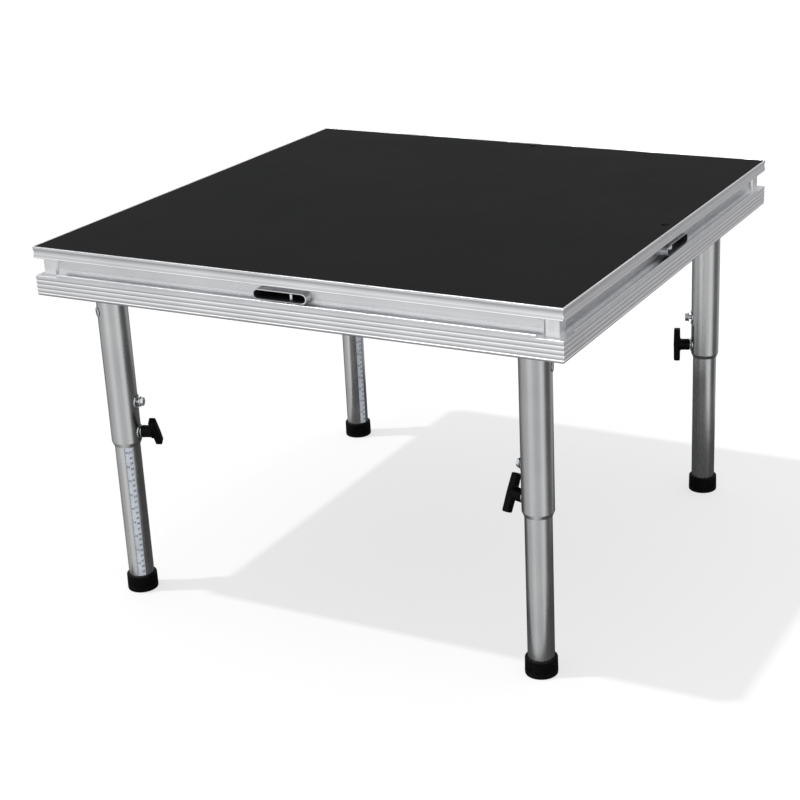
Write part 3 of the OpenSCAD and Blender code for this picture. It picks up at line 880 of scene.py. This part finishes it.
def foot_shell():
    """A rubber cap with a rolled top edge, two ring grooves and a grooved sole."""
    sole = []
    for r in (5, 10, 15, 20):
        sole += [(r - 1.2, 0, 0.3), (r - 0.9, 1.0, 0.3), (r + 0.9, 1.0, 0.3), (r + 1.2, 0, 0.3)]
    side_wall = [(FOOT_R - 0.4, 0, 1.3), (FOOT_R, 5, 2), (FOOT_R - 0.1, 7.0, 0.4), (FOOT_R - 0.9, 7.6, 0.4),
                 (FOOT_R - 0.9, 8.4, 0.4), (FOOT_R - 0.1, 9.0, 0.4), (FOOT_R - 0.35, FOOT_HEIGHT - 6.5, 0.4),
                 (FOOT_R - 1.0, FOOT_HEIGHT - 6.0, 0.4), (FOOT_R - 1.0, FOOT_HEIGHT - 5.2, 0.4),
                 (FOOT_R - 0.3, FOOT_HEIGHT - 4.7, 0.4), (FOOT_R - 0.5, FOOT_HEIGHT, 2.2),
                 (INNER_R + 0.05, FOOT_HEIGHT, 0.8), (INNER_R + 0.05, FOOT_FLOOR, 0.3)]
    outline = rounded([(1.0, 0, 0)] + sole + side_wall + [(1.0, FOOT_FLOOR, 0)], 18)
    return turned([(0, outline[0][1])] + outline + [(0, outline[-1][1])], 96)


def stud_shell():
    """The clamp stud along +X: a plain point and a rolled M10 thread."""
    tip, neck, end = INNER_R + 0.3, OUTER_BORE_R + 1.5, KNOB_OUTER - BAR_THICKNESS - 1
    pitch, major, minor, sides = 1.5, 4.9, 4.05, 32
    rings = [[(r * math.cos(a), r * math.sin(a), x) for a in whole_turn(sides)]
             for r, x in ((2.6, tip), (3, tip + 0.4), (3, neck))]
    for i in range(1, int((end - neck) / (pitch / 5)) + 1):
        z = neck + i * pitch / 5
        fade = min(1, (z - neck) / 1.2)
        ring = []
        for j, angle in enumerate(whole_turn(sides)):
            wave = abs((z / pitch - j / sides) % 1 * 2 - 1)
            r = minor + (major - minor) * min(1, wave * 1.25) * fade
            ring.append((r * math.cos(angle), r * math.sin(angle), z))
        rings.append(ring)
    return moved(skin(rings), ALONG_X)


def knob_mesh():
    """One T-shaped knob along +X from its hub, its blends made by remeshing the joined solids."""
    inner, half, width = KNOB_OUTER - BAR_THICKNESS, 30.5, 13
    bar = rounded([(-half, inner + 0.6, 2), (0, inner, 0), (half, inner + 0.6, 2),
                   (half, KNOB_OUTER - 0.6, 2.6), (0, KNOB_OUTER, 0), (-half, KNOB_OUTER - 0.6, 2.6)])
    bar_shell = moved(prism(bar, -width / 2, width / 2, 1.6), ACROSS_X)
    hub = moved(turned([(0, HUB_START), (9.0, HUB_START), (10.0, HUB_START + 0.3), (10.5, HUB_START + 1.0),
                        (10.3, HUB_START + 6), (10.3, inner - 2.2), (10.9, inner - 0.8), (12.2, inner + 0.6),
                        (12.2, inner + 2), (0, inner + 2)], 72), ALONG_X)
    made = link("knob_master", build_mesh("knob_master", [bar_shell]))
    combine(made, [hub], "UNION")
    groove = turned([(4.9, -0.8), (5.7, -0.8), (5.7, 1), (4.9, 1)], 48, loop=True)
    combine(made, [moved(groove, at(KNOB_OUTER, 0, 0) @ ALONG_X)])
    remesh = made.modifiers.new("remesh", "REMESH")
    remesh.mode, remesh.voxel_size = "VOXEL", 0.55 * MM
    smooth = made.modifiers.new("smooth", "CORRECTIVE_SMOOTH")
    smooth.iterations, smooth.use_only_smooth, smooth.factor = 6, True, 0.5
    bake(made)
    bore = turned([(0, HUB_START - 1), (4.95, HUB_START - 1), (4.95, inner - 0.9), (0, inner - 0.9)], 48)
    combine(made, [moved(bore, ALONG_X)])
    mesh = made.data
    bpy.data.objects.remove(made)
    return mesh


def wrapped(points, angle):
    """Points drawn flat, x round the tube and y up, laid on the tape's surface at an angle."""
    made = []
    for x, y, lift in points:
        turn = math.radians(angle) + x / TAPE_R
        made.append(((TAPE_R + lift) * math.cos(turn), (TAPE_R + lift) * math.sin(turn), y))
    return made


def tape_shell(angle):
    """The tape, a thin closed strip with round corners in its plan."""
    count, low, high = 12, TAPE_LOW, TAPE_HIGH
    columns = []
    for i in range(count + 1):
        x = TAPE_HALF_WIDTH * (2 * i / count - 1)
        drawn_in = 0 if 0 < i < count else 1.0
        columns.append(wrapped([(x, low + drawn_in, -0.1), (x, high - drawn_in, -0.1),
                                (x, high - drawn_in, 0), (x, low + drawn_in, 0)], angle))
    return skin(columns)


def bar_mark(x_from, x_to, y, thickness):
    """A printed dash as a very thin block, in the flat drawing of the tape."""
    lift = 0.03
    low, high = y - thickness / 2, y + thickness / 2
    plan = ((x_from, low), (x_to, low), (x_to, high), (x_from, high))
    points = [(x, level, h) for h in (-0.02, lift) for x, level in plan]
    faces = [(0, 3, 2, 1), (4, 5, 6, 7), (0, 1, 5, 4), (1, 2, 6, 5), (2, 3, 7, 6), (3, 0, 4, 7)]
    return points, faces


def digit_shells(size):
    """Flat solids of the ten figures, drawn from the built-in letter shapes."""
    shells = {}
    for figure in "0123456789":
        curve = bpy.data.curves.new("figure", "FONT")
        curve.body, curve.size = figure, size
        curve.align_x = curve.align_y = "CENTER"
        curve.resolution_u, curve.extrude, curve.offset = 2, 0.025, 0.16
        text = link("figure", curve)
        bpy.context.view_layer.update()
        mesh = bpy.data.meshes.new_from_object(text.evaluated_get(bpy.context.evaluated_depsgraph_get()))
        work = bmesh.new()
        work.from_mesh(mesh)
        bmesh.ops.remove_doubles(work, verts=work.verts, dist=0.0001)
        work.verts.index_update()
        points = [tuple(v.co) for v in work.verts]
        shells[figure] = (points, [[v.index for v in face.verts] for face in work.faces])
        work.free()
        bpy.data.objects.remove(text)
    return shells


def tape_marks(angle, figures):
    """Centimetres up the tape's right and inches up its left, as heights of the deck in millimetres."""
    right, left = TAPE_HALF_WIDTH, -TAPE_HALF_WIDTH
    flat = []

    def column(unit, parts, lengths, edge, inwards, label_x):
        first = math.ceil((TAPE_LOW + 3 + DECK_ABOVE_EDGE) / unit * parts)
        last = math.floor((TAPE_HIGH - 2 + DECK_ABOVE_EDGE) / unit * parts)
        for n in range(first, last + 1):
            y = n * unit / parts - DECK_ABOVE_EDGE
            length = next(size for step, size in lengths if n % step == 0)
            ends = sorted((edge, edge + inwards * length))
            flat.append(bar_mark(*ends, y, 0.6 if n % parts else 1.1))
            if n % parts == 0 and TAPE_LOW + 3 < y < TAPE_HIGH - 6:
                text = str(n // parts)
                for place, figure in enumerate(text):
                    shift_x = label_x + (place - (len(text) - 1) / 2) * 2.6
                    points, faces = figures[figure]
                    flat.append(([(p[0] + shift_x, p[1] + y + 2.7, p[2]) for p in points], faces))

    column(10, 2, ((2, 5.0), (1, 2.4)), right, -1, 3.2)
    column(25.4, 8, ((8, 5.4), (4, 3.4), (1, 1.8)), left + 0.5, 1, -2.8)
    flat.append(bar_mark(left, left + 0.5, (TAPE_LOW + TAPE_HIGH) / 2, TAPE_HIGH - TAPE_LOW - 3))
    return [(wrapped(points, angle), faces) for points, faces in flat]


def leg_piece(kind, corner, finish, shells, material, cuts=()):
    """A piece of one leg."""
    piece(f"{kind}_{corner}_{finish}", shells, f"{kind}_{corner}", material, cuts)


def make_legs():
    boss_hole = moved(turned([(0, 10), (5.0, 10), (5.0, 40), (0, 40)], 48), ALONG_X)
    bolt_hole = moved(turned([(0, 10), (4.1, 10), (4.1, 40), (0, 40)], 48), ALONG_X)
    knob = knob_mesh()
    figures = digit_shells(4.8)
    stud = stud_shell()
    washer = turned_outline([(5.2, WASHER_START, 0.2), (9, WASHER_START, 0.4),
                             (9, WASHER_END, 0.4), (5.2, WASHER_END, 0.2)], 56)
    for corner in CORNERS:
        place = leg(corner)
        at_knob, at_bolt = place @ at(0, 0, KNOB_Z), place @ at(0, 0, LOCK_BOLT_Z)
        at_stop = place @ at(0, 0, STOP_BOLT_Z) @ spin(STOP_BOLT_TURN, "Z")
        cuts = [moved(boss_hole, at_knob), moved(bolt_hole, at_bolt), moved(bolt_hole, at_stop)]
        leg_piece("outer_tube", corner, "drawn", [moved(outer_tube_shell(), place)], tube_metal, cuts)
        bosses = [moved(boss_shell(KNOB_BOSS_END), at_knob), moved(boss_shell(BOLT_BOSS_END), at_bolt)]
        bosses += [moved(weld_shell(), spot) for spot in (at_knob, at_bolt)]
        leg_piece("boss_nuts", corner, "welded", bosses, tube_metal)
        bolts = [moved(shell, at_bolt) for shell in lock_bolt_shells()]
        bolts.append(moved(stop_bolt_shell(), at_stop))
        leg_piece("leg_bolts", corner, "plated", bolts, zinc_metal)
        leg_piece("inner_tube", corner, "drawn", [moved(inner_tube_shell(), place)], tube_metal)
        leg_piece("height_tape", corner, "strip", [moved(tape_shell(TAPE_ANGLE), place)], vinyl)
        marks = [moved(shell, place) for shell in tape_marks(TAPE_ANGLE, figures)]
        leg_piece("height_tape", corner, "figures", marks, ink)
        leg_piece("foot", corner, "moulded", [moved(foot_shell(), place)], foot_rubber)
        leg_piece("knob_washer", corner, "turned", [moved(washer, at_knob @ ALONG_X)], zinc_metal)
        turn = spin(BAR_ANGLES[corner], "X")
        leg_piece("clamp_stud", corner, "threaded", [moved(stud, at_knob @ turn)], zinc_metal)
        made = link(f"clamp_knob_{corner}_moulded", knob.copy())
        grip = at_knob @ turn
        grip.translation = grip.translation * MM
        made.data.transform(grip)
        shade(made, 50)
        stand_for(made, f"clamp_knob_{corner}", knob_plastic)


def make_socket_bolts():
    """Hexagon bolts that hold the castings, with chamfered heads and a washer."""
    flats = 10
    full = hexagon(flats, 99)
    bolt = turned([(0, -10.4), (2.4, -10.4), (3, -9.8), (3, 0), (6.2, 0), (6.2, 0.6), (full, 0.6),
                   (full, 3.2), (hexagon(flats, 5.5), 3.45), (hexagon(flats, 5.1), 3.75),
                   (4.6, 4.0), (0, 4.0)], 60)
    seat, level = RAIL_DEPTH + 5, -64
    shells = []
    for k in range(4):
        place = spin(90 * k, "Z") @ at(-HALF, -HALF, TOP)
        for spot in (46, 100):
            shells.append(moved(bolt, place @ at(spot, seat, level) @ INWARDS))
            shells.append(moved(bolt, place @ at(seat, spot, level) @ ALONG_X))
    piece("socket_hex_bolts", shells, "socket_bolts", zinc_metal)


# ---- CAD nodes that keep their shape ----

def dress(node, material, bevel):
    """A carried-over CAD node gets its material and eased edges."""
    thing = frame["nodes"][node]
    thing.data.materials.clear()
    thing.data.materials.append(material)
    weld = thing.modifiers.new("weld", "WELD")
    weld.merge_threshold = 0.00001
    ease = thing.modifiers.new("ease", "BEVEL")
    ease.width, ease.segments = bevel * MM, 2
    ease.limit_method, ease.angle_limit = "ANGLE", math.radians(40)
    ease.use_clamp_overlap = True


# ---- Studio ----

def paper(name, points, faces, glow, tones, grain):
    """A matt surface that glows by itself, mottled between two greys."""
    mesh = bpy.data.meshes.new(name)
    mesh.from_pydata(points, [], faces)
    look = Look(name, Specular_IOR_Level=0.1, Emission_Color=(1, 1, 1, 1), Emission_Strength=glow)
    tone = look.noise(*grain, 1.0)
    colour = look.mixed(tone, *[(grey, grey, grey) for grey in tones])
    mesh.materials.append(look.finish(colour, look.ranged(tone, 0.8, 0.9)))
    return link(name, mesh)


def flat_sheet(low, high, level):
    """Points and the face of a square sheet."""
    return [(low, low, level), (high, low, level), (high, high, level), (low, high, level)], [(0, 1, 2, 3)]


def make_floor():
    floor = paper("studio_floor", *flat_sheet(-40, 40, -0.0003), 0.68, (0.16, 0.165), (3, 3))
    floor.visible_glossy = False


def make_floor_shade():
    """A dark card on the floor under the deck, seen only in the metal, as the floor's shaded part."""
    card = paper("floor_shade", *flat_sheet(-0.46, 0.72, 0.001), 0.06, (0.01, 0.02), (5, 2))
    card.visible_camera = card.visible_diffuse = card.visible_shadow = False


def make_backdrop():
    """A pale wall far round the floor, which hides the lights' own pattern from the camera."""
    reach, sides = 39, 48
    points = [(reach * math.cos(a), reach * math.sin(a), z) for z in (-1, 30) for a in whole_turn(sides)]
    faces = [(j, (j + 1) % sides, (j + 1) % sides + sides, j + sides) for j in range(sides)]
    wall = paper("backdrop", points, faces, 1.0, (0.1, 0.11), (0.2, 2))
    wall.visible_glossy = wall.visible_diffuse = wall.visible_shadow = False


def make_world():
    """A soft studio: bright overhead and in front, dark to the right and behind, dimmer low down."""
    world = bpy.data.worlds.new("studio")
    scene.world = world
    world.use_nodes = True
    nodes, links = world.node_tree.nodes, world.node_tree.links
    direction = nodes.new("ShaderNodeTexCoord").outputs["Generated"]
    round_about = nodes.new("ShaderNodeTexGradient")
    round_about.gradient_type = "RADIAL"
    links.new(direction, round_about.inputs["Vector"])
    split = nodes.new("ShaderNodeSeparateXYZ")
    links.new(direction, split.inputs["Vector"])

    def ramp(position, stops):
        """A grey that follows (position, value) stops."""
        node = nodes.new("ShaderNodeValToRGB")
        links.new(position, node.inputs["Fac"])
        while len(node.color_ramp.elements) < len(stops):
            node.color_ramp.elements.new(0.5)
        for element, (spot, value) in zip(node.color_ramp.elements, stops):
            element.position = spot
            element.color = (value, value, value, 1)
        return node.outputs["Color"]

    def height(low, high):
        """The direction's height as a share of the way between two heights."""
        node = nodes.new("ShaderNodeMapRange")
        node.inputs["From Min"].default_value = low
        node.inputs["From Max"].default_value = high
        links.new(split.outputs["Z"], node.inputs["Value"])
        return node.outputs["Result"]

    # Brightness by the compass: 0 and 1 look along -X, 0.25 along -Y, 0.5 along +X and 0.75 along +Y
    around = ramp(round_about.outputs["Fac"], [
        (0.0, 0.55), (0.04, 0.64), (0.13, 0.76), (0.175, 1.06), (0.22, 1.08), (0.29, 0.82), (0.36, 0.80),
        (0.42, 1.15), (0.46, 1.05), (0.50, 0.18), (0.60, 0.14), (0.65, 0.52), (0.71, 0.56), (0.77, 0.30),
        (0.83, 0.10), (0.93, 0.18), (1.0, 0.55)])
    # Share of it by height: 0 looks straight down, 0.5 at the horizon and 1 straight up
    upwards = ramp(height(-1, 1), [
        (0.0, 1.0), (0.03, 0.9), (0.11, 0.5), (0.22, 0.66), (0.32, 0.86), (0.55, 1.15)])
    mix = nodes.new("ShaderNodeMix")
    mix.data_type = "RGBA"
    links.new(height(0.2, 0.48), mix.inputs["Factor"])
    links.new(around, mix.inputs[COLOUR_A])
    mix.inputs[COLOUR_B].default_value = (1.2, 1.2, 1.2, 1)
    background = nodes["Background"]
    links.new(mix.outputs[COLOUR_OUT], background.inputs["Color"])
    links.new(upwards, background.inputs["Strength"])


def make_key_light():
    """A high light from the front left, which lays the platform's pale shadow on the floor."""
    light = bpy.data.lights.new("key", "SUN")
    light.energy, light.angle = 3.2, math.radians(2)
    lamp = bpy.data.objects.new("key", light)
    scene.collection.objects.link(lamp)
    lamp.rotation_mode = "QUATERNION"
    lamp.rotation_quaternion = Vector((0.34, 0.175, -0.926)).to_track_quat("-Z", "Y")


def make_camera():
    """The view from the right of the front, a little above the deck."""
    lens = bpy.data.cameras.new("camera")
    lens.sensor_width, lens.lens, lens.shift_x = 36, 78.14, -0.075
    lens.clip_start, lens.clip_end = 0.05, 200
    camera = bpy.data.objects.new("camera", lens)
    scene.collection.objects.link(camera)
    right = Vector((0.89455, 0.44557, -0.03529))
    forward = Vector((-0.42761, 0.83014, -0.35779))
    right = (right - forward * right.dot(forward)).normalized()
    up = right.cross(forward)
    turn = Matrix((right, up, -forward)).transposed().to_4x4()
    camera.matrix_world = Matrix.Translation((1.3540, -2.5151, 1.3538)) @ turn
    scene.camera = camera


make_camera()
make_rails()
make_corners()
make_rivets()
make_deck()
make_board_screws()
make_locks()
make_legs()
make_socket_bolts()
# The board's near black colour is painted shade in its key holes
dress("deck_board", birch_painted_shade, 0.3)
for beam in ("cross_beam_left", "cross_beam_right"):
    dress(beam, rail_metal[1], 0.7)
for corner_name in CORNERS:
    dress("leg_socket_" + corner_name, socket_metal, 0.8)
make_floor()
make_floor_shade()
make_backdrop()
make_world()
make_key_light()
scene.view_settings.view_transform = "Standard"
